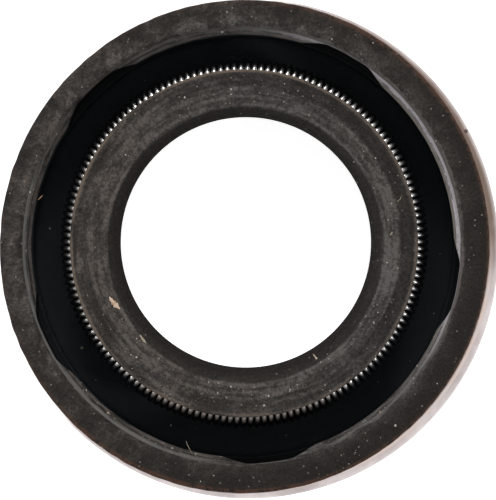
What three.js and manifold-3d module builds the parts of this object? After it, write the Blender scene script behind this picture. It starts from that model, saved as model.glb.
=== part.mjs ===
// Radial oil seal: a pressed steel case, a rubber body moulded into it and a garter spring.
// Sizes are in millimetres. The shaft axis is +Z and the origin is on it, at the back face.
// The side towards the oil, with the spring, faces up.

import * as THREE from 'three';
import { mergeVertices } from 'three/addons/utils/BufferGeometryUtils.js';
import Module from 'manifold-3d';

// What the seal fits
const SHAFT_DIAMETER = 12;
const HOUSING_DIAMETER = 22;
const SEAL_WIDTH = 7;

// Steel case
const CASE_WALL = 0.8;
const CASE_BEND_RADIUS = 1.2;
const CASE_LEAD_IN = 0.2;
const CASE_LEAD_HEIGHT = 0.45;

// Rubber that covers the case
const RIM_COVER = 0.4;
const RIM_BEVEL = 0.08;
const LINING_THICKNESS = 0.9;
const RIM_SLOPE_WIDTH = 0.3;
const RIM_SLOPE_DEPTH = 0.95;
const FLOOR_THICKNESS = 0.5;
const FLOOR_FILLET = 0.4;
const FLANGE_WRAP = 0.4;
const BACK_RECESS = 0.1;

// Flexible neck and lip head
const NECK_CLEARANCE = 0.6;
const NECK_THICKNESS = 0.75;
const LIP_INTERFERENCE = 0.5;
const HEAD_THICKNESS = 1.22;
const FACE_DEPTH = 1.05;
const OIL_CONE_WIDTH = 0.62;
const OIL_CONE_ANGLE = THREE.MathUtils.degToRad(50);
const AIR_CONE_ANGLE = THREE.MathUtils.degToRad(27);
const RETAINER_THICKNESS = 0.25;
const RETAINER_REACH = 0.16;
const SHOULDER_THICKNESS = 0.25;

// Notches that the mould's locating keys leave in the rim's inner wall
const NOTCH_COUNT = 5;
const NOTCH_FIRST_ANGLE = THREE.MathUtils.degToRad(60.6);
const NOTCH_CORE_ANGLE = THREE.MathUtils.degToRad(12);
const NOTCH_MOUTH_ANGLE = THREE.MathUtils.degToRad(19);
const NOTCH_LENGTH = 4.2;
const NOTCH_BEHIND_RIM = 0.04;

// Garter spring
const WIRE_DIAMETER = 0.25;
const COIL_DIAMETER = 1.3;
const TURN_GAP = 0.016;
const SPRING_CLEARANCE = 0.08;
const NIB_TURNS = 3;
const TAPER_TURNS = 2;
const NIB_STEP = 0.32;
const SPRING_JOINT_ANGLE = THREE.MathUtils.degToRad(-97);

// Facets
const REVOLVE_SEGMENTS = 48;
const ARC_DIVISIONS = 2;
const SEGMENTS_PER_TURN = 6;
const WIRE_SIDES = 4;
const CUT_MARGIN = 0.5;

// Radii and heights that follow from the sizes above
const caseRadius = HOUSING_DIAMETER / 2;
const caseInnerRadius = caseRadius - CASE_WALL;
const caseTop = SEAL_WIDTH - RIM_COVER;
const wallRadius = caseInnerRadius - LINING_THICKNESS;
const rimInnerRadius = wallRadius + RIM_SLOPE_WIDTH;
const rimOuterRadius = caseRadius - CASE_LEAD_IN;
const neckInnerRadius = SHAFT_DIAMETER / 2 + NECK_CLEARANCE;
const neckOuterRadius = neckInnerRadius + NECK_THICKNESS;
const flangeRadius = neckInnerRadius + FLANGE_WRAP;
const floorHeight = CASE_WALL + FLOOR_THICKNESS;
const lipRadius = SHAFT_DIAMETER / 2 - LIP_INTERFERENCE;
const faceHeight = SEAL_WIDTH - FACE_DEPTH;
const faceInnerRadius = lipRadius + OIL_CONE_WIDTH;
const lipHeight = faceHeight - OIL_CONE_WIDTH / Math.tan(OIL_CONE_ANGLE);
const airConeFoot = lipHeight - (neckInnerRadius - lipRadius) / Math.tan(AIR_CONE_ANGLE);
const grooveRadius = COIL_DIAMETER / 2 + SPRING_CLEARANCE;
const springRadius = lipRadius + HEAD_THICKNESS + grooveRadius;
const springHeight = faceHeight - RETAINER_THICKNESS - grooveRadius;
const headRadius = springRadius + RETAINER_REACH;
const grooveOpening = Math.acos(RETAINER_REACH / grooveRadius);
const grooveHalfHeight = grooveRadius * Math.sin(grooveOpening);
const coilRadius = (COIL_DIAMETER - WIRE_DIAMETER) / 2;
const nibRadius = coilRadius - NIB_STEP;
const turnCount = Math.floor(2 * Math.PI * (springRadius - coilRadius) / (WIRE_DIAMETER + TURN_GAP));

const wasm = await Module();
wasm.setup();

function steel() {
  return new THREE.MeshStandardMaterial({ color: 0xcfc7c4, roughness: 0.38, metalness: 1 });
}

function rubber() {
  return new THREE.MeshStandardMaterial({ color: 0x393532, roughness: 0.85, metalness: 0 });
}

function springSteel() {
  return new THREE.MeshStandardMaterial({ color: 0xb4b2b0, roughness: 0.25, metalness: 1 });
}

// A section is drawn with radius as x and height as y, and turned about the shaft axis
function revolve(section) {
  const geometry = new THREE.LatheGeometry([...section, section[0].clone()], REVOLVE_SEGMENTS);
  return geometry.rotateX(Math.PI / 2);
}

// The line on which the rubber is bonded to the steel, from the front edge to the flange's hole
function bondLine() {
  const bendCentre = caseRadius - CASE_BEND_RADIUS;
  const line = new THREE.Path();
  line.moveTo(rimOuterRadius, caseTop);
  line.lineTo(caseInnerRadius, caseTop);
  line.lineTo(caseInnerRadius, CASE_BEND_RADIUS);
  line.absarc(bendCentre, CASE_BEND_RADIUS, CASE_BEND_RADIUS - CASE_WALL, 0, -Math.PI / 2, true);
  line.lineTo(flangeRadius, CASE_WALL);
  line.lineTo(flangeRadius, BACK_RECESS);
  return line.getPoints(ARC_DIVISIONS / 2);
}

function caseSection() {
  const bendCentre = caseRadius - CASE_BEND_RADIUS;
  const outside = new THREE.Path();
  outside.moveTo(flangeRadius, 0);
  outside.lineTo(bendCentre, 0);
  outside.absarc(bendCentre, CASE_BEND_RADIUS, CASE_BEND_RADIUS, -Math.PI / 2, 0, false);
  outside.lineTo(caseRadius, caseTop - CASE_LEAD_HEIGHT);
  return [...outside.getPoints(ARC_DIVISIONS), ...bondLine().slice(0, -1)];
}

// The bonded line, then the rim, wall, floor, neck, spring groove, head, sealing lip and back
function rubberSection() {
  const line = new THREE.Path();
  line.moveTo(rimOuterRadius, SEAL_WIDTH - RIM_BEVEL);
  line.lineTo(rimOuterRadius - RIM_BEVEL, SEAL_WIDTH);
  line.lineTo(rimInnerRadius, SEAL_WIDTH);
  line.lineTo(wallRadius, SEAL_WIDTH - RIM_SLOPE_DEPTH);
  line.lineTo(wallRadius, floorHeight + FLOOR_FILLET);
  line.lineTo(wallRadius - FLOOR_FILLET, floorHeight);
  line.lineTo(neckOuterRadius + FLOOR_FILLET, floorHeight);
  line.lineTo(neckOuterRadius, floorHeight + FLOOR_FILLET);
  const shoulderHeight = springHeight - grooveHalfHeight - SHOULDER_THICKNESS;
  line.lineTo(neckOuterRadius, shoulderHeight - (headRadius - neckOuterRadius));
  line.lineTo(headRadius, shoulderHeight);
  line.absarc(springRadius, springHeight, grooveRadius, -grooveOpening, grooveOpening, true);
  line.lineTo(headRadius, faceHeight);
  line.lineTo(faceInnerRadius, faceHeight);
  line.lineTo(lipRadius, lipHeight);
  line.lineTo(neckInnerRadius, airConeFoot);
  line.lineTo(neckInnerRadius, BACK_RECESS);
  return [...bondLine().reverse(), ...line.getPoints(ARC_DIVISIONS)];
}

// One notch stands on +X: its flanks spread from the core's angle to the mouth's at the wall
function notchCutter() {
  const backRadius = rimInnerRadius + NOTCH_BEHIND_RIM;
  const frontRadius = wallRadius - CUT_MARGIN;
  const flankSlope = (NOTCH_MOUTH_ANGLE - NOTCH_CORE_ANGLE) / 2 / (backRadius - wallRadius);
  const frontAngle = NOTCH_CORE_ANGLE / 2 + flankSlope * (backRadius - frontRadius);
  const outline = new THREE.Shape();
  outline.absarc(0, 0, backRadius, -NOTCH_CORE_ANGLE / 2, NOTCH_CORE_ANGLE / 2, false);
  outline.lineTo(frontRadius * Math.cos(frontAngle), frontRadius * Math.sin(frontAngle));
  outline.lineTo(frontRadius * Math.cos(frontAngle), -frontRadius * Math.sin(frontAngle));
  const cutter = new THREE.ExtrudeGeometry(outline, {
    depth: NOTCH_LENGTH + CUT_MARGIN,
    curveSegments: ARC_DIVISIONS,
    bevelEnabled: false,
  });
  return cutter.translate(0, 0, SEAL_WIDTH - NOTCH_LENGTH);
}

function toSolid(geometry) {
  const shape = geometry.clone();
  shape.deleteAttribute('normal');
  shape.deleteAttribute('uv');
  const merged = mergeVertices(shape);
  return new wasm.Manifold(new wasm.Mesh({
    numProp: 3,
    vertProperties: merged.attributes.position.array,
    triVerts: Uint32Array.from(merged.index.array),
  }));
}

function toGeometry(solid) {
  const mesh = solid.getMesh();
  const geometry = new THREE.BufferGeometry();
  geometry.setAttribute('position', new THREE.BufferAttribute(mesh.vertProperties, 3));
  geometry.setIndex(new THREE.BufferAttribute(mesh.triVerts, 1));
  const flat = geometry.toNonIndexed();
  flat.computeVertexNormals();
  return flat;
}

function rubberGeometry() {
  const cutter = notchCutter();
  const step = 2 * Math.PI / NOTCH_COUNT;
  let solid = toSolid(revolve(rubberSection()));
  for (let i = 0; i < NOTCH_COUNT; i += 1) {
    const placed = cutter.clone().rotateZ(NOTCH_FIRST_ANGLE + i * step);
    solid = solid.subtract(toSolid(placed));
  }
  return toGeometry(solid);
}

// The wire's centre line: a coil bent round the lip head. It runs once round the ring, narrows
// in its last turns before the joint and goes on inside its own first turns as the nib.
class GarterCoil extends THREE.Curve {
  getPoint(t, target = new THREE.Vector3()) {
    const turn = t * (turnCount + NIB_TURNS);
    const { centre, outward } = this.coilAt(turn);
    const narrowed = THREE.MathUtils.clamp((turn - turnCount) / TAPER_TURNS + 1, 0, 1);
    const radius = THREE.MathUtils.lerp(coilRadius, nibRadius, narrowed);
    return target.copy(centre).addScaledVector(outward, radius);
  }

  coilAt(turn) {
    const around = SPRING_JOINT_ANGLE + 2 * Math.PI * turn / turnCount;
    const phase = 2 * Math.PI * turn;
    const spoke = new THREE.Vector3(Math.cos(around), Math.sin(around), 0);
    const centre = spoke.clone().multiplyScalar(springRadius).setZ(springHeight);
    const outward = spoke.multiplyScalar(Math.cos(phase)).setZ(Math.sin(phase));
    return { centre, outward };
  }

  getSpacedPoints(divisions) {
    return this.getPoints(divisions);
  }

  computeFrenetFrames(segments) {
    const frames = { tangents: [], normals: [], binormals: [] };
    for (let i = 0; i <= segments; i += 1) {
      const t = i / segments;
      const tangent = this.getTangent(t);
      const { outward } = this.coilAt(t * (turnCount + NIB_TURNS));
      const binormal = new THREE.Vector3().crossVectors(tangent, outward).normalize();
      frames.tangents.push(tangent);
      frames.normals.push(new THREE.Vector3().crossVectors(binormal, tangent));
      frames.binormals.push(binormal);
    }
    return frames;
  }
}

function springGeometry() {
  const wire = new THREE.Shape();
  wire.absarc(0, 0, WIRE_DIAMETER / 2, 0, 2 * Math.PI, false);
  return new THREE.ExtrudeGeometry(wire, {
    steps: (turnCount + NIB_TURNS) * SEGMENTS_PER_TURN,
    curveSegments: WIRE_SIDES / 2,
    extrudePath: new GarterCoil(),
  });
}

function piece(name, geometry, material) {
  const mesh = new THREE.Mesh(geometry, material);
  mesh.name = name;
  return mesh;
}

const seal = new THREE.Group();
seal.add(piece('steel_case', revolve(caseSection()), steel()));
seal.add(piece('rubber_body', rubberGeometry(), rubber()));
seal.add(piece('garter_spring', springGeometry(), springSteel()));

export default seal;
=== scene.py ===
"""The looks of an oil seal: dusty moulded rubber in a bare steel case, with a bright garter spring.

Lengths are in metres, in the row's frame: the shaft axis is +Z, the origin is on it at the back
face, and the side with the spring faces up. A section lists (radius, height, corner rounding).
"""

import math

import bpy
import numpy as np
from mathutils import Matrix, Vector


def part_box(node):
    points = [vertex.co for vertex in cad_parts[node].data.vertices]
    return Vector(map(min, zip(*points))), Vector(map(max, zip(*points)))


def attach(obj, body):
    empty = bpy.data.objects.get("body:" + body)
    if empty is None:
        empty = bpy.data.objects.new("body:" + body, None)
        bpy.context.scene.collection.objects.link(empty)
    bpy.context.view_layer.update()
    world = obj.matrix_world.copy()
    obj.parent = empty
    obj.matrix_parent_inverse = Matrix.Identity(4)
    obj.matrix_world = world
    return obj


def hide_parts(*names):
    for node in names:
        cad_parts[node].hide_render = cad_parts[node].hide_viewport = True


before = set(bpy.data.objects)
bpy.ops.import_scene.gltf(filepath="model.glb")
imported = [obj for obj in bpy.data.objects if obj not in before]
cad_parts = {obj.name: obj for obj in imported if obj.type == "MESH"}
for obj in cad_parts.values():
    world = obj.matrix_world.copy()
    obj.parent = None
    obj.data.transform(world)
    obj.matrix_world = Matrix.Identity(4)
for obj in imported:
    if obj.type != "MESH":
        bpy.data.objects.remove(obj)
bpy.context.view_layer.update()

MM = 0.001
TAU = 2 * math.pi

# Sizes read from the frame
CASE_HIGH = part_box("steel_case")[1]
RUBBER_LOW, RUBBER_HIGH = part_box("rubber_body")
SPRING_LOW, SPRING_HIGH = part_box("garter_spring")
CASE_RADIUS = CASE_HIGH.x
CASE_TOP = CASE_HIGH.z
RIM_OUTER = RUBBER_HIGH.x
RIM_TOP = RUBBER_HIGH.z
BACK_RECESS = RUBBER_LOW.z

# Steel case
CASE_WALL = 0.8 * MM
CASE_BEND = 1.2 * MM
LEAD_HEIGHT = 0.45 * MM
LEAD_START = 10.62 * MM
FLANGE_RADIUS = 7.0 * MM
FLANGE_EDGE = 0.05 * MM
CASE_INNER = CASE_RADIUS - CASE_WALL
BOND_GAP = 0.004 * MM

# Rubber
WALL_RADIUS = 9.3 * MM
RIM_INNER = 9.6 * MM
SLOPE_FOOT = RIM_TOP - 0.95 * MM
CREASE_HEIGHT = RIM_TOP - 0.55 * MM
FLOOR_HEIGHT = 1.3 * MM
FLOOR_FILLET = 0.4 * MM
FLOOR_MIDDLE = 8.3 * MM
GROOVE_LIMIT = 9.9 * MM
NECK_INNER = 6.6 * MM
NECK_OUTER = 7.35 * MM
LIP_RADIUS = 5.5 * MM
LIP_ANGLE = math.radians(50)
AIR_ANGLE = math.radians(27)
FACE_HEIGHT = RIM_TOP - 1.05 * MM
FACE_INNER = LIP_RADIUS + 0.62 * MM
LIP_HEIGHT = FACE_HEIGHT - (FACE_INNER - LIP_RADIUS) / math.tan(LIP_ANGLE)
AIR_CONE_FOOT = LIP_HEIGHT - (NECK_INNER - LIP_RADIUS) / math.tan(AIR_ANGLE)

# Garter spring and its groove
COIL_OUTER = 0.65 * MM
WIRE_RADIUS = 0.125 * MM
COIL_MEAN = COIL_OUTER - WIRE_RADIUS
GROOVE_RADIUS = 0.73 * MM
SPRING_RING = SPRING_HIGH.x - COIL_OUTER + 0.02 * MM
SPRING_LEVEL = (SPRING_LOW.z + SPRING_HIGH.z) / 2
HEAD_REACH = 0.19 * MM
HEAD_RADIUS = SPRING_RING + HEAD_REACH
SHOULDER = 0.25 * MM
BEAD_WIDTH = 0.22 * MM
TURNS = 163
NIB_TURNS = 3
TAPER_TURNS = 1
NIB_MEAN = COIL_MEAN - 0.32 * MM
JOINT_ANGLE = math.radians(-97)

# The head's face lies a little lower toward the spring: where its step starts and ends, and how low
FACE_STEP_START = 6.82 * MM
FACE_STEP_END = 6.93 * MM
LOW_FACE_HEIGHT = FACE_HEIGHT - 0.03 * MM
DARK_RING = (7.0 * MM, 7.42 * MM)

# Mould notches in the rim's inner wall
NOTCHES = 5
NOTCH_FIRST = math.radians(61.2)
NOTCH_CORE = math.radians(12)
NOTCH_MOUTH = math.radians(26)
NOTCH_FOOT = RIM_TOP - 4.2 * MM
NOTCH_BACK = RIM_INNER - 0.01 * MM
NOTCH_ROUNDING = 0.4

# Seeded waviness of each edge: seed, fewest and most waves round the ring, and size
CASE_RIPPLE = (5, 2, 9, 0.003 * MM)
FLASH_RIPPLE = (11, 12, 110, 0.009 * MM)
WALL_RIPPLE = (12, 3, 60, 0.006 * MM)
BEAD_RIPPLE = (13, 8, 70, 0.006 * MM)

# Mesh fineness
AROUND = 480
RUBBER_STEP = 0.18 * MM
STEEL_STEP = 0.3 * MM
CORNER_STEPS = 4
CASE_BEND_POINTS = 10
GROOVE_POINTS = 18
STEPS_PER_TURN = 22
WIRE_SIDES = 10
FIBRE_POINTS = 13
FIBRE_SIDES = 6
SHARP_ANGLE = math.radians(50)

# Camera: the photograph looks down the shaft axis, a little from the lower right
FRAME_HEIGHT = 500
PIXELS_PER_METRE = 250.3 / CASE_RADIUS
CAMERA_DISTANCE = 0.6
CAMERA_TILT = math.radians(1.3)
CAMERA_SIDE = math.radians(-38)
SENSOR_WIDTH = 36
NEAREST, FARTHEST = 0.05, 5
PICTURE_CENTRE = Vector((248.0, 250.0))
SEAL_CENTRE = Vector((248.1, 248.3))

# A wide floor, and soft lights: name, place, size and power
FLOOR_REACH = 0.6
FLOOR_GLOW = 0.9
SKY_STRENGTH = 0.55
LIGHTS = [
    ("key", (0.02, 0.31, 0.29), 0.22, 0.95),
    ("low_left", (-0.38, 0.04, 0.16), 0.14, 0.45),
    ("right", (0.30, -0.13, 0.32), 0.05, 0.17),
]

# The camera's axes, and the point that it looks at, in the plane of the case's top
SIDE = Vector((math.cos(CAMERA_SIDE), math.sin(CAMERA_SIDE), 0))
AWAY = SIDE * math.sin(CAMERA_TILT) + Vector((0, 0, 1)) * math.cos(CAMERA_TILT)
UP = AWAY.cross(Vector((1, 0, 0))).normalized()
RIGHT = UP.cross(AWAY)
OFFSET = (PICTURE_CENTRE - SEAL_CENTRE) / PIXELS_PER_METRE
TARGET = Vector((OFFSET.x, -OFFSET.y, CASE_TOP))

# How far the soft moulding sits off the steel's axis in the photograph
LIP_SHIFT = np.array([-0.12, 0.28]) * MM
RIDGE_SHIFT = np.array([-0.12, 0.145]) * MM
HEAD_SHIFT = np.array([-0.195, 0.23]) * MM
WALL_SHIFT = np.array([-0.255, 0.12]) * MM
RIM_SHIFT = np.array([-0.15, 0.075]) * MM

# The rubber's trimmed edge is a little oval too: how much, and where it is widest
OVAL_SIZE = 0.055 * MM
OVAL_TURN = math.radians(71)

# Dirt placed by pixel after the photograph: single grains, three points along each flake, a nick
FACE_GRAINS = [
    (122, 319), (126, 320), (131, 355), (298, 91), (313, 96), (388, 220), (354, 162), (354, 374),
]
RIM_GRAINS = [
    (227, 12), (373, 43), (332, 39), (82, 87), (436, 141), (482, 215), (475, 220), (30, 192),
    (16, 277), (23, 330), (422, 406),
]
LIP_FLAKE = [(313, 354), (317, 359), (321, 365)]
FACE_FLAKE = [(110, 298), (114, 304), (120, 309)]
FACE_CURL = [(397, 201), (401, 200), (401, 196)]
RIDGE_FLAKE = [(140, 335), (143, 340), (146, 343)]
EDGE_FIBRE = [(186, 441), (188, 447), (192, 453)]
WALL_FIBRE = [(38, 200), (41, 197), (43, 195)]
NICK = (466, 131)

# Seeds of the grains and of the fibres' uneven girth
GRAIN_SEED = 31
FIBRE_SEED = 7

# Sizes of the grains: the usual one in millimetres, its spread, and that of the ones given by pixel
GRAIN_SIZE = 0.027
GRAIN_SPREAD = 0.45
PLACED_GRAIN = 0.04 * MM

# The dust gathers toward the bottom of the picture: what share of it, where, and how widely
BOTTOM_SHARE = 0.45
BOTTOM_ANGLE = -1.57
BOTTOM_SPREAD = 0.6


def on_plane(pixel, height):
    """The point at that height that shows at that pixel of the photograph."""
    step = (Vector(pixel) - PICTURE_CENTRE) / PIXELS_PER_METRE
    way = RIGHT * step.x - UP * step.y - AWAY * CAMERA_DISTANCE
    start = TARGET + AWAY * CAMERA_DISTANCE
    return start + way * ((height - start.z) / way.z)


def smooth(share):
    share = np.clip(share, 0, 1)
    return share * share * (3 - 2 * share)


def ripple(angle, seed, lowest, highest, size):
    """A seeded waviness round the ring: whole waves, so that it closes on itself."""
    chance = np.random.default_rng(seed)
    total = np.zeros_like(angle)
    for wave in range(lowest, highest + 1):
        total += chance.normal() * np.sin(wave * angle + chance.uniform(0, TAU))
    return size * total / math.sqrt(highest - lowest + 1)


def curve(share, start, pull, end):
    """Points of a curve from start to end, drawn toward pull."""
    return (1 - share) ** 2 * start + 2 * share * (1 - share) * pull + share**2 * end


def unit(vectors):
    return vectors / np.linalg.norm(vectors, axis=1)[:, None]


def off_notch(angle):
    """The angle from the middle of the nearest notch."""
    step = TAU / NOTCHES
    return np.abs((angle - NOTCH_FIRST + step / 2) % step - step / 2)


def rounded_corner(before, corner, after, size):
    """Points of a curve that replaces a corner, no longer than the sides allow."""
    before, corner, after = (np.array(p, float) for p in (before, corner, after))
    way_in, way_out = before - corner, after - corner
    reach = min(size, 0.45 * np.linalg.norm(way_in), 0.45 * np.linalg.norm(way_out))
    start = corner + way_in / np.linalg.norm(way_in) * reach
    end = corner + way_out / np.linalg.norm(way_out) * reach
    share = np.linspace(0, 1, CORNER_STEPS + 1)[:, None]
    return curve(share, start, corner, end)


def outline(corners, longest):
    """A section from its first corner to its last: corners rounded, long sides divided."""
    line = []
    for i, (radius, height, rounding) in enumerate(corners):
        here = (radius, height)
        if rounding > 0:
            line.extend(rounded_corner(corners[i - 1][:2], here, corners[i + 1][:2], rounding))
        else:
            line.append(np.array(here))
    section = [line[0]]
    for start, end in zip(line, line[1:]):
        count = max(1, math.ceil(np.linalg.norm(end - start) / longest))
        section.extend(start + (end - start) * k / count for k in range(1, count + 1))
    return np.array(section)


def arc(radius_at, height_at, size, start, end, count):
    """Section corners along an arc, with no rounding of their own."""
    angles = np.linspace(start, end, count)
    return [(radius_at + size * math.cos(a), height_at + size * math.sin(a), 0) for a in angles]


def mesh_object(name, vertices, faces, material):
    mesh = bpy.data.meshes.new(name)
    mesh.from_pydata(np.asarray(vertices).tolist(), [], faces)
    mesh.materials.append(material)
    mesh.polygons.foreach_set("use_smooth", [True] * len(mesh.polygons))
    mesh.set_sharp_from_angle(angle=SHARP_ANGLE)
    made = bpy.data.objects.new(name, mesh)
    bpy.context.scene.collection.objects.link(made)
    return made


def ring_faces(rows, columns, closed):
    """Quads between rows of points. Columns close on themselves, and rows too where closed."""
    faces = []
    for i in range(rows if closed else rows - 1):
        here, there = i * columns, (i + 1) % rows * columns
        for k in range(columns):
            m = (k + 1) % columns
            faces.append((here + k, here + m, there + m, there + k))
    return faces


def revolved(name, section, angles, material, shape=None, shifts=None):
    """Turns a closed section about the shaft axis.

    shape may move its points, given as arrays, and shifts holds each section point's own (x, y) move.
    """
    radius = np.repeat(section[:, :1], len(angles), axis=1)
    height = np.repeat(section[:, 1:], len(angles), axis=1)
    angle = np.repeat(angles[None, :], len(section), axis=0)
    if shape:
        radius = shape(radius, height, angle)
    vertices = np.stack([radius * np.cos(angle), radius * np.sin(angle), height], axis=-1)
    if shifts is not None:
        vertices[..., :2] += shifts[:, None, :]
    faces = ring_faces(*radius.shape, closed=True)
    return mesh_object(name, vertices.reshape(-1, 3), faces, material)


def swept(name, line, across, over, size, sides, material, flatness=1.0):
    """A tube with closed ends along a line. across and over are its section's directions."""
    angles = np.arange(sides) / sides * TAU
    circle = np.cos(angles)[None, :, None] * across[:, None, :]
    circle = circle + flatness * np.sin(angles)[None, :, None] * over[:, None, :]
    vertices = line[:, None, :] + size * circle
    faces = ring_faces(len(line), sides, closed=False)
    faces.append(tuple(range(sides)))
    last = (len(line) - 1) * sides
    faces.append(tuple(last + k for k in reversed(range(sides))))
    return mesh_object(name, vertices.reshape(-1, 3), faces, material)


def even_angles():
    return np.arange(AROUND) / AROUND * TAU


def notched_angles():
    """Even angles, with the corners of every notch put in and their near neighbours left out."""
    step = TAU / NOTCHES
    edges = (-NOTCH_MOUTH / 2, -NOTCH_CORE / 2, NOTCH_CORE / 2, NOTCH_MOUTH / 2)
    corners = [(NOTCH_FIRST + i * step + edge) % TAU for i in range(NOTCHES) for edge in edges]
    nearest = TAU / AROUND * 0.4
    kept = [a for a in even_angles() if min(abs(a - c) for c in corners) > nearest]
    return np.array(sorted(kept + corners))


# Colours

def rgb(red, green, blue):
    return (red, green, blue, 1.0)


CLEAN_DARK = rgb(0.0105, 0.0086, 0.0076)
CLEAN_LIGHT = rgb(0.0185, 0.0150, 0.0130)
# Painted shade: the groove's tone and the notches' deeper black
GROOVE_SHADE_TONE = rgb(0.034, 0.039, 0.043)
NOTCH_SHADE_BLACK = rgb(0.008, 0.009, 0.010)
DUST_BROWN = rgb(0.112, 0.096, 0.086)
# Painted shade in the slope's crease, painted sheen and light on its bands, and painted light on its
# shoulder
CREASE_SHADE = rgb(0.05, 0.04, 0.035)
LOWER_SHEEN = rgb(0.26, 0.23, 0.20)
UPPER_DUST_AND_LIGHT = rgb(0.18, 0.175, 0.16)
UPPER_SHEEN = rgb(0.60, 0.55, 0.58)
SHOULDER_LIGHT_GREY = rgb(0.108, 0.104, 0.104)
PALE_LINE_GREY = rgb(0.20, 0.195, 0.185)
BEAD_BROWN = rgb(0.100, 0.078, 0.062)
BEAD_TAN = rgb(0.165, 0.126, 0.096)
FRINGE_RED = rgb(0.075, 0.038, 0.024)
SPECK_PALE = rgb(0.20, 0.18, 0.155)

STEEL_DARK = rgb(0.39, 0.345, 0.34)
STEEL_LIGHT = rgb(0.48, 0.435, 0.43)
EDGE_GREY = rgb(0.48, 0.43, 0.42)
EDGE_PINK = rgb(0.56, 0.45, 0.40)
# Rust and painted reflection by the rubber, then a painted reflection on the left
RUST_AND_REFLECTION_BROWN = rgb(0.145, 0.100, 0.078)
STEEL_PAINTED_REFLECTION = rgb(0.80, 0.79, 0.79)
SPOT_BROWN = rgb(0.26, 0.17, 0.11)
NICK_BLACK = rgb(0.03, 0.02, 0.015)

WIRE_BRIGHT = rgb(0.80, 0.795, 0.79)
WIRE_GREY = rgb(0.60, 0.58, 0.56)
# Painted shade: the ring's duller bottom, then each turn's dark lower part
WIRE_SHADED = rgb(0.34, 0.29, 0.26)
WIRE_SHADE_GREY = rgb(0.22, 0.22, 0.24)
WIRE_SHADE_BLACK = rgb(0.03, 0.028, 0.026)


# Materials

class Nodes:
    """A material's nodes, with a short call for each kind used here."""

    def __init__(self, name):
        self.material = bpy.data.materials.new(name)
        self.material.use_nodes = True
        self.tree = self.material.node_tree
        self.shader = self.tree.nodes["Principled BSDF"]
        place = self.tree.nodes.new("ShaderNodeTexCoord")
        self.place = place.outputs["Object"]

    def link(self, source, target):
        if isinstance(source, (int, float, tuple)):
            target.default_value = source
        else:
            self.tree.links.new(source, target)

    def maths(self, operation, *values, clamp=False):
        node = self.tree.nodes.new("ShaderNodeMath")
        node.operation = operation
        node.use_clamp = clamp
        for value, socket in zip(values, node.inputs):
            self.link(value, socket)
        return node.outputs[0]

    def split(self, vector):
        node = self.tree.nodes.new("ShaderNodeSeparateXYZ")
        self.link(vector, node.inputs[0])
        return node.outputs

    def radius_about(self, centre):
        """Distance from an upright axis through centre."""
        x, y, _ = self.split(self.place)
        x = self.maths("SUBTRACT", x, float(centre[0]))
        y = self.maths("SUBTRACT", y, float(centre[1]))
        return self.maths("SQRT", self.maths("ADD", self.product(x, x), self.product(y, y)))

    def toward(self, degrees):
        """How far a point lies toward a compass direction, from -1 to 1 of the case's radius."""
        x, y, _ = self.split(self.place)
        turn = math.radians(degrees)
        reach = self.maths("ADD", self.product(x, math.cos(turn)), self.product(y, math.sin(turn)))
        return self.maths("DIVIDE", reach, CASE_RADIUS)

    def product(self, *values):
        total = values[0]
        for value in values[1:]:
            total = self.maths("MULTIPLY", total, value)
        return total

    def noise(self, per_mm, detail=4.0, roughness=0.55, vector=None, distortion=0.0):
        node = self.tree.nodes.new("ShaderNodeTexNoise")
        node.inputs["Scale"].default_value = per_mm / MM
        node.inputs["Detail"].default_value = detail
        node.inputs["Roughness"].default_value = roughness
        node.inputs["Distortion"].default_value = distortion
        self.link(vector or self.place, node.inputs["Vector"])
        return node.outputs["Fac"]

    def cells(self, per_mm):
        node = self.tree.nodes.new("ShaderNodeTexVoronoi")
        node.inputs["Scale"].default_value = per_mm / MM
        self.link(self.place, node.inputs["Vector"])
        return node.outputs["Distance"]

    def combined(self, x, y, z):
        node = self.tree.nodes.new("ShaderNodeCombineXYZ")
        for value, socket in zip((x, y, z), node.inputs):
            self.link(value, socket)
        return node.outputs[0]

    def ranged(self, value, low, high, to_low=0.0, to_high=1.0):
        node = self.tree.nodes.new("ShaderNodeMapRange")
        node.interpolation_type = "SMOOTHSTEP"
        for item, socket in zip((value, low, high, to_low, to_high), node.inputs):
            self.link(item, socket)
        return node.outputs[0]

    def band(self, value, low, high, soft):
        """1 between low and high, fading to 0 over soft outside them."""
        rising = self.ranged(value, low - soft, low)
        falling = self.ranged(value, high, high + soft, 1.0, 0.0)
        return self.maths("MULTIPLY", rising, falling)

    def mix(self, share, first, second):
        node = self.tree.nodes.new("ShaderNodeMix")
        node.data_type = "RGBA"
        node.clamp_factor = True
        self.link(share, node.inputs[0])
        for value, socket in zip((first, second), (node.inputs[6], node.inputs[7])):
            self.link(value, socket)
        return node.outputs[2]

    def blend(self, share, first, second):
        """A number that goes from first to second with share."""
        node = self.tree.nodes.new("ShaderNodeMix")
        node.data_type = "FLOAT"
        for value, socket in zip((share, first, second), node.inputs[:1] + node.inputs[2:4]):
            self.link(value, socket)
        return node.outputs[0]

    def bump(self, height, distance, before=None):
        node = self.tree.nodes.new("ShaderNodeBump")
        node.inputs["Distance"].default_value = distance
        self.link(height, node.inputs["Height"])
        if before is not None:
            self.link(before, node.inputs["Normal"])
        return node.outputs[0]

    def set(self, **inputs):
        names = {"colour": "Base Color", "rough": "Roughness", "metal": "Metallic",
                 "specular": "Specular IOR Level", "normal": "Normal"}
        for key, value in inputs.items():
            self.link(value, self.shader.inputs[names[key]])
        return self.material


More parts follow.
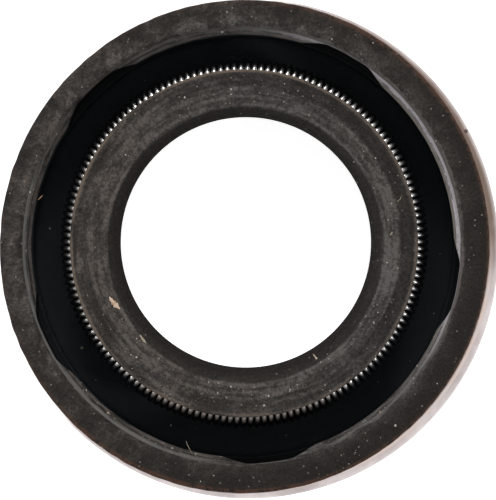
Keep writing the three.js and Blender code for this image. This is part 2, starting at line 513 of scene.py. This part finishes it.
class RubberNodes(Nodes):
    """The rubber's distances, noises and masks, which its dust and its colours share."""

    def __init__(self, name):
        super().__init__(name)
        x, y, self.height = self.split(self.place)
        self.at_lip = self.radius_about(RIDGE_SHIFT)
        self.at_head = self.radius_about(HEAD_SHIFT)
        self.at_wall = self.radius_about(WALL_SHIFT)
        self.at_rim = self.radius_about(RIM_SHIFT)

        self.cloud = self.noise(0.35, detail=2)
        self.blotches = self.noise(0.9, detail=5, roughness=0.6, distortion=0.6)
        self.mottle = self.noise(3.6, detail=6, roughness=0.74)
        self.grain = self.noise(9.0, detail=4, roughness=0.75)
        along_x, along_y = self.product(x, 0.1), self.product(y, 0.1)
        self.streaks = self.noise(5.0, detail=4, vector=self.combined(self.at_head, along_x, along_y))
        self.lines = self.noise(9.0, detail=3, vector=self.combined(self.at_wall, along_x, along_y))

        # Painted light: the lit right side and its brightest stretch, then masks of single places
        self.sunlit = self.ranged(self.toward(20), -0.5, 0.6)
        self.brightest_lit = self.ranged(self.toward(26), 0.30, 0.72)
        # Painted light: the shoulder is the rim's rounded inner edge on the lit side, least on the
        # brightest stretch
        shoulder = self.ranged(self.at_wall, RIM_INNER + 0.1 * MM, RIM_INNER + 0.6 * MM, 1.0, 0.0)
        self.shoulder = self.product(shoulder, self.sunlit, self.blend(self.brightest_lit, 1.0, 0.35))
        self.crease = self.band(self.height, CREASE_HEIGHT - 0.03 * MM, CREASE_HEIGHT, 0.02 * MM)
        self.up_slope = self.ranged(self.height, RIM_TOP - 0.16 * MM, RIM_TOP - 0.005 * MM, 1.0, 0.0)
        # The groove below the slope, which gets a painted shade tone and no dust
        groove = self.band(self.at_head, HEAD_RADIUS + 0.01 * MM, GROOVE_LIMIT, 0.02 * MM)
        under_slope = self.ranged(self.height, SLOPE_FOOT - 0.06 * MM, SLOPE_FOOT, 1.0, 0.0)
        self.groove = self.product(groove, under_slope)


def dust_and_light_inside(n):
    """Share of dust on the lip, the face and the darker ring outside it, with painted light on the lip's
    cone toward the lower right.
    """
    on_lip = n.ranged(n.at_lip, LIP_RADIUS + 0.1 * MM, FACE_INNER - 0.1 * MM, 0.0, 0.11)
    # Painted light: on the cone the share grows toward the lower right, the side that faces the light
    on_lip = n.product(on_lip, n.ranged(n.toward(-45), -0.5, 0.0, 0.4, 1.0))
    on_face = n.ranged(n.toward(-45), -0.3, 0.6, 0.5, 0.62)
    dust = n.blend(n.ranged(n.at_lip, FACE_INNER - 0.1 * MM, FACE_INNER), on_lip, on_face)
    ridge = n.band(n.at_lip, FACE_INNER + 0.02 * MM, FACE_INNER + 0.09 * MM, 0.04 * MM)
    dust = n.maths("ADD", dust, n.product(ridge, 0.16))
    on_ring = n.ranged(n.toward(190), -0.7, 0.7, 0.12, 0.40)
    on_ring = n.product(on_ring, n.ranged(n.cloud, 0.4, 0.6, 0.6, 1.4))
    dust = n.blend(n.band(n.at_head, *DARK_RING, 0.2 * MM), dust, on_ring)
    return n.product(dust, n.ranged(n.streaks, 0.35, 0.65, 0.5, 1.5))


def dust_and_light_outside(n):
    """Share of dust on the rim's top, its rounded inner edge and the slope under it, with painted light:
    the rim paler toward the upper left, the slope toward the upper right.
    """
    # Painted light: the rim's share grows toward the upper left
    on_rim = n.ranged(n.toward(147), -0.9, 0.9, 0.03, 0.25)
    on_rim = n.product(on_rim, n.ranged(n.at_rim, RIM_INNER + 0.4 * MM, RIM_INNER + 0.9 * MM, 1.35, 0.75))
    on_rim = n.product(on_rim, n.ranged(n.blotches, 0.38, 0.62, 0.45, 1.55))
    # Painted light: more on the lit shoulder
    on_rim = n.maths("ADD", on_rim, n.product(n.shoulder, 0.18))
    # Painted light: the slope's share grows toward the upper right, most on the brightest lit stretch
    on_slope = n.ranged(n.toward(35), -0.9, 0.9, 0.85, 1.8)
    faded = n.ranged(n.height, RIM_TOP - 0.32 * MM, RIM_TOP - 0.02 * MM, 1.0, 0.3)
    on_slope = n.product(on_slope, n.blend(n.brightest_lit, faded, 1.7))
    on_slope = n.product(on_slope, n.ranged(n.lines, 0.40, 0.60, 0.35, 1.5))
    # Less in the crease: painted shade
    on_slope = n.product(on_slope, n.blend(n.crease, 1.0, 0.25))
    return n.blend(n.up_slope, on_rim, on_slope)


def dust_and_light_share(n):
    """How dusty each point is, from 0 to 1, with painted light in it: uneven, and none at all down in the
    groove, where the painted shade tone shows.
    """
    uneven = n.product(
        n.ranged(n.mottle, 0.36, 0.64, 0.6, 1.4),
        n.ranged(n.grain, 0.36, 0.64, 0.5, 1.5),
        n.ranged(n.blotches, 0.33, 0.67, 0.7, 1.3),
    )
    outer = n.ranged(n.at_wall, FLOOR_MIDDLE, FLOOR_MIDDLE + 0.2 * MM)
    dust = n.product(n.blend(outer, dust_and_light_inside(n), dust_and_light_outside(n)), uneven)
    return n.maths("MULTIPLY", dust, n.blend(n.groove, 1.0, 0.0), clamp=True)


def clean_rubber_and_shade(n):
    """The rubber's own colour, with painted shade: a set tone down in the groove and a deeper black on
    the notches' walls there.
    """
    clean = n.mix(n.ranged(n.grain, 0.4, 0.6), CLEAN_DARK, CLEAN_LIGHT)
    # Painted shade: the groove's tone, and a deeper black on the notches' walls
    notch = n.ranged(n.at_wall, WALL_RADIUS + 0.01 * MM, WALL_RADIUS + 0.05 * MM)
    return n.mix(n.groove, clean, n.mix(notch, GROOVE_SHADE_TONE, NOTCH_SHADE_BLACK))


def dusty_and_lit_rubber(n):
    """The dust's colour with painted light and shade: painted sheen and light on the two bands of the
    slope, painted light on the shoulder above them, and painted shade in the crease.
    """
    # Painted shade in the crease
    dusty = n.mix(n.product(n.up_slope, n.crease), DUST_BROWN, CREASE_SHADE)
    # Painted sheen on the lower band's brightest lit stretch
    lower = n.band(n.height, SLOPE_FOOT, CREASE_HEIGHT - 0.06 * MM, 0.03 * MM)
    dusty = n.mix(n.product(lower, n.brightest_lit), dusty, LOWER_SHEEN)
    # Dust and painted light on the upper band, more on the lit side, with a painted sheen on its
    # brightest stretch
    upper = n.band(n.height, CREASE_HEIGHT, RIM_TOP - 0.28 * MM, 0.12 * MM)
    upper = n.product(upper, n.ranged(n.at_wall, WALL_RADIUS - 0.1 * MM, WALL_RADIUS))
    upper = n.product(upper, n.blend(n.sunlit, 0.25, 1.0))
    dusty = n.mix(upper, dusty, n.mix(n.brightest_lit, UPPER_DUST_AND_LIGHT, UPPER_SHEEN))
    return n.mix(n.product(n.shoulder, 0.7), dusty, SHOULDER_LIGHT_GREY)


def with_marks(n, colour):
    """The colour with a pale line along the rim's inner edge at the lower left, the bead by the spring, a
    red-brown fringe and specks.
    """
    pale_edge_line = n.product(
        n.band(n.at_wall, RIM_INNER - 0.04 * MM, RIM_INNER + 0.03 * MM, 0.05 * MM),
        n.ranged(n.toward(-152), 0.45, 0.75),
        n.ranged(n.height, RIM_TOP - 0.5 * MM, RIM_TOP - 0.3 * MM),
    )
    colour = n.mix(n.product(pale_edge_line, 0.6), colour, PALE_LINE_GREY)

    bead = n.band(n.at_head, HEAD_RADIUS - 0.09 * MM, HEAD_RADIUS + 0.02 * MM, 0.05 * MM)
    bead = n.product(bead, n.ranged(n.height, FACE_HEIGHT - 0.2 * MM, FACE_HEIGHT - 0.05 * MM))
    tan = n.mix(n.ranged(n.toward(125), -0.4, 0.4), BEAD_BROWN, BEAD_TAN)
    colour = n.mix(n.product(bead, n.ranged(n.streaks, 0.3, 0.6), 0.8), colour, tan)

    fringe = n.product(
        n.ranged(n.at_rim, RIM_OUTER - 0.20 * MM, RIM_OUTER - 0.07 * MM),
        n.ranged(n.mottle, 0.38, 0.52),
        n.ranged(n.toward(-32), -0.7, 0.0, 0.15, 1.0),
    )
    colour = n.mix(n.product(fringe, 0.85), colour, FRINGE_RED)

    specks = n.ranged(n.cells(3.4), 0.09, 0.16, 1.0, 0.0)
    specks = n.product(specks, n.ranged(n.noise(1.3), 0.48, 0.58), n.blend(n.groove, 0.8, 0.0))
    return n.mix(specks, colour, SPECK_PALE)


def rubber_material():
    """Matt black rubber: dusty on the face and rim, with painted light on the rim, the slope and the
    cone, and painted shade down in the groove and the notches.
    """
    n = RubberNodes("seal_rubber_finish")
    dust = dust_and_light_share(n)
    colour = with_marks(n, n.mix(dust, clean_rubber_and_shade(n), dusty_and_lit_rubber(n)))
    rough = n.blend(dust, 0.48, 0.85)
    relief = n.maths("ADD", n.product(n.mottle, 0.65), n.product(n.grain, 0.35))
    normal = n.bump(relief, 0.10 * MM, n.bump(n.streaks, 0.02 * MM))
    return n.set(colour=colour, rough=rough, specular=0.12, normal=normal)


def steel_material():
    """Bare pressed steel: drawing lines round the wall, a brown patch by the rubber that is rust and
    painted reflection, a painted reflection on the left, and a nick.
    """
    n = Nodes("case_steel_finish")
    _, _, height = n.split(n.place)
    radius = n.radius_about((0, 0))
    cloud = n.noise(0.5, detail=4, distortion=0.4)
    patch = n.noise(1.8, detail=5, roughness=0.65)
    lines = n.noise(9.0, detail=3, vector=n.combined(radius, 0.0, height))
    grain = n.noise(20.0, detail=2)
    colour = n.mix(n.ranged(cloud, 0.35, 0.65), STEEL_DARK, STEEL_LIGHT)
    edge = n.ranged(radius, LEAD_START + 0.18 * MM, LEAD_START + 0.08 * MM)
    edge = n.product(edge, n.ranged(height, CASE_TOP - 0.4 * MM, CASE_TOP - 0.3 * MM))
    colour = n.mix(edge, colour, n.mix(n.ranged(patch, 0.35, 0.6), EDGE_GREY, EDGE_PINK))
    # Rust and painted reflection: a brown patch toward the upper right, by the rubber
    rust_and_reflection = n.product(n.ranged(n.toward(36), 0.66, 0.86), n.ranged(patch, 0.2, 0.45, 0.8, 1.0))
    rust_and_reflection = n.product(rust_and_reflection, n.ranged(radius, RIM_OUTER, CASE_RADIUS - 0.03 * MM, 0.95, 0.2))
    colour = n.mix(rust_and_reflection, colour, RUST_AND_REFLECTION_BROWN)
    # Painted reflection: the steel paler on the left, where its lead-in mirrors the white surroundings
    pale = n.ranged(n.toward(-28), -0.42, -0.26, 1.0, 0.0)
    pale = n.product(pale, n.ranged(height, 4.5 * MM, 6.0 * MM))
    colour = n.mix(pale, colour, STEEL_PAINTED_REFLECTION)
    spots = n.product(n.ranged(patch, 0.62, 0.72), n.ranged(cloud, 0.45, 0.6))
    colour = n.mix(n.product(spots, 0.6), colour, SPOT_BROWN)
    nick = n.radius_about(on_plane(NICK, CASE_TOP))
    colour = n.mix(n.ranged(nick, 0.06 * MM, 0.12 * MM, 0.85, 0.0), colour, NICK_BLACK)
    rough = n.blend(n.ranged(patch, 0.3, 0.7), 0.30, 0.46)
    relief = n.maths("ADD", n.product(lines, 0.6), n.product(grain, 0.4))
    return n.set(colour=colour, rough=rough, metal=1.0, normal=n.bump(relief, 0.012 * MM))


def spring_material():
    """Bright drawn wire with painted shade: duller at the ring's bottom, which faces away from the light,
    and dark on each turn below its bright top.
    """
    n = Nodes("spring_steel_finish")
    _, _, height = n.split(n.place)
    patch = n.noise(1.2, detail=4)
    fine = n.noise(16.0, detail=3)
    colour = n.mix(n.ranged(patch, 0.35, 0.7), WIRE_BRIGHT, WIRE_GREY)
    # Painted shade: the turns at the ring's bottom are duller
    shaded_bottom = n.ranged(n.toward(-94), 0.48, 0.64)
    colour = n.mix(n.product(shaded_bottom, 0.85), colour, WIRE_SHADED)
    # Painted shade: on the right side the bright tops are smaller
    right = n.ranged(n.toward(-20), 0.40, 0.60)
    height = n.maths("SUBTRACT", height, n.product(right, 0.05 * MM))
    # Painted shade and dark reflection: each turn dark below its bright top, blacker at the ring's bottom
    lit_top = n.ranged(height, SPRING_LEVEL + 0.40 * MM, SPRING_LEVEL + 0.57 * MM)
    colour = n.mix(lit_top, n.mix(shaded_bottom, WIRE_SHADE_GREY, WIRE_SHADE_BLACK), colour)
    rough = n.blend(n.ranged(fine, 0.3, 0.7), n.blend(shaded_bottom, 0.18, 0.34), n.blend(shaded_bottom, 0.30, 0.46))
    return n.set(colour=colour, rough=rough, metal=1.0, normal=n.bump(fine, 0.006 * MM))


def speck_material(name, light, dark):
    n = Nodes(name)
    tone = n.noise(2.4, detail=2)
    colour = n.mix(n.ranged(tone, 0.35, 0.65), light, dark)
    return n.set(colour=colour, rough=0.8, specular=0.2, normal=n.bump(n.noise(30.0), 0.01 * MM))


def floor_material():
    n = Nodes("pale_floor")
    colour = n.mix(n.noise(0.02, detail=2), rgb(0.90, 0.90, 0.90), rgb(0.93, 0.93, 0.93))
    n.link(colour, n.shader.inputs["Emission Color"])
    n.shader.inputs["Emission Strength"].default_value = FLOOR_GLOW
    return n.set(colour=colour, rough=0.7, specular=0.1)


def finish_piece(piece, node):
    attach(piece, "root")
    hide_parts(node)


# The three pieces

def bond_corners(gap):
    """The bonded line from the rim's outer edge to the flange's hole, gap inside the steel."""
    bend = CASE_BEND - CASE_WALL + gap
    inner = CASE_INNER - gap
    floor = CASE_WALL + gap
    turn = arc(inner - bend, floor + bend, bend, 0, -math.pi / 2, CORNER_STEPS + 1)
    return [
        (RIM_OUTER, CASE_TOP + gap, 0),
        (inner, CASE_TOP + gap, 0),
        *turn,
        (FLANGE_RADIUS - gap, floor, 0),
        (FLANGE_RADIUS - gap, BACK_RECESS, 0),
    ]


def make_case():
    centre = CASE_RADIUS - CASE_BEND
    outside = [
        (FLANGE_RADIUS, FLANGE_EDGE, 0),
        (FLANGE_RADIUS + FLANGE_EDGE, 0, 0),
        *arc(centre, CASE_BEND, CASE_BEND, -math.pi / 2, 0, CASE_BEND_POINTS),
        (CASE_RADIUS, CASE_TOP - LEAD_HEIGHT, 0.12 * MM),
        (LEAD_START, CASE_TOP, 0.03 * MM),
        (CASE_INNER, CASE_TOP, 0),
    ]
    section = outline(outside, STEEL_STEP)
    inside = np.array([c[:2] for c in bond_corners(0)[2:-1]])
    section = np.concatenate([section, inside])

    def shape(radius, height, angle):
        return radius + ripple(angle, *CASE_RIPPLE)

    piece = revolved("case_shell", section, even_angles(), steel_material(), shape)
    finish_piece(piece, "steel_case")


def rubber_section():
    opening = math.acos(HEAD_REACH / GROOVE_RADIUS)
    shoulder_height = SPRING_LEVEL - GROOVE_RADIUS * math.sin(opening) - SHOULDER
    neck_top = shoulder_height - (HEAD_RADIUS - NECK_OUTER)
    crease = 0.5 * (RIM_INNER - WALL_RADIUS) + WALL_RADIUS
    shown = [
        (RIM_OUTER, CASE_TOP + BOND_GAP, 0),
        (RIM_OUTER, RIM_TOP, 0.09 * MM),
        (RIM_INNER + 0.04 * MM, RIM_TOP, 0.26 * MM),
        (crease + 0.02 * MM, CREASE_HEIGHT, 0.02 * MM),
        (crease - 0.02 * MM, CREASE_HEIGHT - 0.02 * MM, 0.02 * MM),
        (WALL_RADIUS, SLOPE_FOOT, 0.04 * MM),
        (WALL_RADIUS, NOTCH_FOOT + 0.01 * MM, 0),
        (WALL_RADIUS, NOTCH_FOOT - 0.01 * MM, 0),
        (WALL_RADIUS, FLOOR_HEIGHT, FLOOR_FILLET),
        (NECK_OUTER, FLOOR_HEIGHT, FLOOR_FILLET),
        (NECK_OUTER, neck_top, 0.2 * MM),
        (HEAD_RADIUS, shoulder_height, 0.1 * MM),
        *arc(SPRING_RING, SPRING_LEVEL, GROOVE_RADIUS, -opening, opening - TAU, GROOVE_POINTS),
        (HEAD_RADIUS, FACE_HEIGHT, 0.06 * MM),
        (HEAD_RADIUS - BEAD_WIDTH, LOW_FACE_HEIGHT, 0.08 * MM),
        (FACE_STEP_END, LOW_FACE_HEIGHT, 0.08 * MM),
        (FACE_STEP_START, FACE_HEIGHT, 0.05 * MM),
        (FACE_INNER, FACE_HEIGHT, 0.07 * MM),
        (LIP_RADIUS, LIP_HEIGHT, 0.02 * MM),
        (NECK_INNER, AIR_CONE_FOOT, 0.5 * MM),
        (NECK_INNER, BACK_RECESS, 0.12 * MM),
        (FLANGE_RADIUS - BOND_GAP, BACK_RECESS, 0),
    ]
    hidden = np.array([c[:2] for c in bond_corners(BOND_GAP)[1:-1]][::-1])
    shown = outline(shown, RUBBER_STEP)
    shifts = np.concatenate([moulding_shift(shown, neck_top), np.zeros_like(hidden)])
    return np.concatenate([shown, hidden]), shifts


def moulding_shift(section, neck_top):
    """Each section point's move off the axis: none at the bonded floor, its own at lip, head and rim."""
    radius, height = section[:, :1], section[:, 1:]
    head = smooth((height - FLOOR_HEIGHT) / (neck_top - FLOOR_HEIGHT)) * HEAD_SHIFT
    ridge = smooth((HEAD_RADIUS - radius) / (HEAD_RADIUS - FACE_INNER)) * (height > neck_top)
    lip = np.clip((FACE_INNER - radius) / (FACE_INNER - LIP_RADIUS), 0, 1) * (height > neck_top)
    head = head + ridge * (RIDGE_SHIFT - HEAD_SHIFT) + lip * (LIP_SHIFT - RIDGE_SHIFT)
    out = smooth((radius - WALL_RADIUS) / (RIM_OUTER - WALL_RADIUS))
    wall = WALL_SHIFT + out * (RIM_SHIFT - WALL_SHIFT)
    wall = wall * smooth((radius - NECK_OUTER) / (WALL_RADIUS - NECK_OUTER))
    return np.where(radius > (NECK_OUTER + WALL_RADIUS) / 2, wall, head) * (height > CASE_WALL)


def cut_notches(radius, height, angle):
    """Moves the rim's inner wall out to the back of each notch, above the notch's foot."""
    flank = np.clip((NOTCH_MOUTH / 2 - off_notch(angle)) / ((NOTCH_MOUTH - NOTCH_CORE) / 2), 0, 1)
    flank = (1 - NOTCH_ROUNDING) * flank + NOTCH_ROUNDING * smooth(flank)
    cut = WALL_RADIUS + (NOTCH_BACK - WALL_RADIUS) * flank
    on_wall = (radius > WALL_RADIUS - 0.01 * MM) & (radius < CASE_INNER - 0.1 * MM)
    return np.where(on_wall & (height > NOTCH_FOOT), np.maximum(radius, cut), radius)


def shape_rubber(radius, height, angle):
    radius = cut_notches(radius, height, angle)
    flash = np.clip((radius - (RIM_OUTER - 0.1 * MM)) / (0.1 * MM), 0, 1) * (height > CASE_TOP)
    oval = OVAL_SIZE * np.cos(2 * (angle - OVAL_TURN))
    radius = radius + flash * (ripple(angle, *FLASH_RIPPLE) + oval)
    wall = (radius > WALL_RADIUS - 0.02 * MM) & (radius < RIM_INNER + 0.1 * MM)
    radius = radius + wall * ripple(angle, *WALL_RIPPLE)
    bead = (radius > HEAD_RADIUS - 0.15 * MM) & (radius < HEAD_RADIUS + 0.01 * MM)
    bead = bead & (height > SPRING_LEVEL)
    return radius + bead * ripple(angle, *BEAD_RIPPLE)


def make_rubber():
    section, shifts = rubber_section()
    material = rubber_material()
    piece = revolved("moulded_rubber", section, notched_angles(), material, shape_rubber, shifts)
    finish_piece(piece, "rubber_body")


def make_spring():
    """The wire's own round section, swept along a coil that is bent into a ring."""
    count = (TURNS + NIB_TURNS) * STEPS_PER_TURN + 1
    turn = np.linspace(0, TURNS + NIB_TURNS, count)
    narrowed = np.clip((turn - TURNS) / TAPER_TURNS + 1, 0, 1)
    size = COIL_MEAN + (NIB_MEAN - COIL_MEAN) * narrowed
    around = JOINT_ANGLE + TAU * turn / TURNS
    spoke = np.stack([np.cos(around), np.sin(around), np.zeros(count)], axis=1)
    upright = np.array([0.0, 0.0, 1.0])
    outward = spoke * np.cos(TAU * turn)[:, None] + upright * np.sin(TAU * turn)[:, None]
    line = spoke * SPRING_RING + upright * SPRING_LEVEL + outward * size[:, None]
    tangent = unit(np.gradient(line, axis=0))
    side = unit(np.cross(tangent, outward))
    normal = np.cross(side, tangent)
    line[:, :2] += HEAD_SHIFT
    piece = swept("spring_coil", line, normal, side, WIRE_RADIUS, WIRE_SIDES, spring_material())
    finish_piece(piece, "garter_spring")


# Dirt on the moulding

def grain_mesh(place, size, chance):
    """A flattened six-cornered grain, its corners moved about by chance."""
    corners = [(1, 0, 0), (0, 1, 0), (-1, 0, 0), (0, -1, 0), (0, 0, 0.6), (0, 0, -0.6)]
    points = np.array(corners) * chance.uniform(0.6, 1.2, (6, 3)) * size
    turn = chance.uniform(0, TAU)
    cosine, sine = math.cos(turn), math.sin(turn)
    spin = np.array([[cosine, -sine, 0], [sine, cosine, 0], [0, 0, 1]])
    sides = [(0, 1, 4), (1, 2, 4), (2, 3, 4), (3, 0, 4), (1, 0, 5), (2, 1, 5), (3, 2, 5), (0, 3, 5)]
    return points @ spin.T + place, sides


def strewn_places(count, inner, outer, low, high, shift, chance):
    """Seeded places on a ring of the moulding, those on a sloping ring clear of the notches.

    The ring rises from low at its inner radius to high at its outer one.
    """
    at_bottom = chance.random(count) < BOTTOM_SHARE
    near_bottom = chance.normal(BOTTOM_ANGLE, BOTTOM_SPREAD, count)
    angle = np.where(at_bottom, near_bottom, chance.uniform(0, TAU, count))
    share = chance.random(count)
    kept = (off_notch(angle) > NOTCH_MOUTH / 2) | (high == low)
    radius = inner + share * (outer - inner)
    x, y = shift[0] + radius * np.cos(angle), shift[1] + radius * np.sin(angle)
    return np.stack([x, y, low + share * (high - low)], axis=1)[kept]


def make_grains():
    chance = np.random.default_rng(GRAIN_SEED)
    slope_end = RIM_TOP - 0.2 * MM
    # How many grains, inner and outer radius, the height at each, and the ring's shift off the axis
    rings = [
        (110, FACE_INNER + 0.1 * MM, HEAD_RADIUS - 0.1 * MM, FACE_HEIGHT, FACE_HEIGHT, HEAD_SHIFT),
        (26, RIM_INNER + 0.25 * MM, RIM_OUTER - 0.2 * MM, RIM_TOP, RIM_TOP, RIM_SHIFT),
        (130, WALL_RADIUS + 0.02 * MM, RIM_INNER - 0.06 * MM, SLOPE_FOOT, slope_end, WALL_SHIFT),
        (14, FLOOR_MIDDLE, FLOOR_MIDDLE + 0.6 * MM, FLOOR_HEIGHT, FLOOR_HEIGHT, WALL_SHIFT * 0.7),
    ]
    places = np.concatenate([strewn_places(*ring, chance) for ring in rings])
    sizes = chance.lognormal(math.log(GRAIN_SIZE), GRAIN_SPREAD, len(places)) * MM
    placed = [on_plane(pixel, FACE_HEIGHT) for pixel in FACE_GRAINS]
    placed += [on_plane(pixel, RIM_TOP) for pixel in RIM_GRAINS]
    places = np.concatenate([places, np.array(placed)])
    sizes = np.concatenate([sizes, np.full(len(placed), PLACED_GRAIN)])
    vertices, faces = [], []
    for place, size in zip(places, sizes):
        points, sides = grain_mesh(place, size, chance)
        first = len(points) * len(vertices)
        faces.extend(tuple(first + k for k in side) for side in sides)
        vertices.append(points)
    material = speck_material("dust_grains", rgb(0.55, 0.52, 0.47), rgb(0.22, 0.17, 0.13))
    piece = mesh_object("dust_grains", np.concatenate(vertices), faces, material)
    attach(piece, "root")


def make_fibre(name, pixels, heights, radius, material, flatness=1.0):
    """An uneven lint fibre or flake through the named pixels, each at its own height."""
    knots = np.array([on_plane(pixel, height) for pixel, height in zip(pixels, heights)])
    share = np.linspace(0, 1, FIBRE_POINTS)[:, None]
    line = curve(share, *knots)
    tangent = np.gradient(line, axis=0)
    side = unit(np.cross(tangent, (0, 0, 1)))
    over = unit(np.cross(side, tangent))
    girth = np.random.default_rng(FIBRE_SEED).uniform(0.5, 1.25, share.shape)
    girth = girth * (0.25 + 0.75 * np.sin(math.pi * share))
    size = radius * girth[:, :, None]
    piece = swept(name, line, side, over, size, FIBRE_SIDES, material, flatness)
    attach(piece, "root")


def make_fibres():
    brown = speck_material("brown_lint", rgb(0.50, 0.32, 0.19), rgb(0.30, 0.15, 0.07))
    pale = speck_material("pale_lint", rgb(0.45, 0.40, 0.33), rgb(0.30, 0.22, 0.15))
    peach = speck_material("peach_flake", rgb(0.60, 0.45, 0.34), rgb(0.35, 0.22, 0.14))
    on_lip = (FACE_HEIGHT - 0.16 * MM,) * 3
    on_face = (FACE_HEIGHT + 0.01 * MM,) * 3
    on_edge = (RIM_TOP - 0.80 * MM, RIM_TOP - 0.74 * MM, RIM_TOP - 0.55 * MM)
    on_wall = (RIM_TOP - 0.95 * MM, RIM_TOP - 0.98 * MM, RIM_TOP - 1.0 * MM)
    make_fibre("lip_flake", LIP_FLAKE, on_lip, 0.05 * MM, pale, 0.5)
    make_fibre("face_flake", FACE_FLAKE, on_face, 0.12 * MM, peach, 0.3)
    make_fibre("face_curl", FACE_CURL, on_face, 0.018 * MM, pale)
    make_fibre("ridge_flake", RIDGE_FLAKE, on_face, 0.05 * MM, pale, 0.4)
    make_fibre("edge_fibre", EDGE_FIBRE, on_edge, 0.015 * MM, pale)
    make_fibre("wall_fibre", WALL_FIBRE, on_wall, 0.022 * MM, brown)


# Camera, floor and light

def make_camera():
    data = bpy.data.cameras.new("camera")
    camera = bpy.data.objects.new("camera", data)
    bpy.context.scene.collection.objects.link(camera)
    bpy.context.scene.camera = camera
    camera.location = TARGET + AWAY * CAMERA_DISTANCE
    camera.rotation_mode = "QUATERNION"
    camera.rotation_quaternion = Matrix((RIGHT, UP, AWAY)).transposed().to_quaternion()
    data.sensor_width = SENSOR_WIDTH
    data.lens = data.sensor_width / 2 * CAMERA_DISTANCE / (FRAME_HEIGHT / 2 / PIXELS_PER_METRE)
    data.clip_start = NEAREST
    data.clip_end = FARTHEST


def make_floor():
    corners = [(FLOOR_REACH * x, FLOOR_REACH * y, 0) for x, y in ((-1, -1), (1, -1), (1, 1), (-1, 1))]
    floor = mesh_object("floor", corners, [(0, 1, 2, 3)], floor_material())


def area_light(name, place, size, power):
    data = bpy.data.lights.new(name, "AREA")
    data.size = size
    data.energy = power
    light = bpy.data.objects.new(name, data)
    light.location = place
    light.rotation_mode = "QUATERNION"
    light.rotation_quaternion = Vector(place).to_track_quat("Z", "Y")
    bpy.context.scene.collection.objects.link(light)


def make_light():
    world = bpy.data.worlds.new("studio")
    bpy.context.scene.world = world
    world.use_nodes = True
    background = world.node_tree.nodes["Background"]
    background.inputs["Color"].default_value = rgb(1.0, 1.0, 1.0)
    background.inputs["Strength"].default_value = SKY_STRENGTH
    for light in LIGHTS:
        area_light(*light)
    bpy.context.scene.view_settings.view_transform = "Standard"


make_camera()
make_floor()
make_light()
make_case()
make_rubber()
make_spring()
make_grains()
make_fibres()
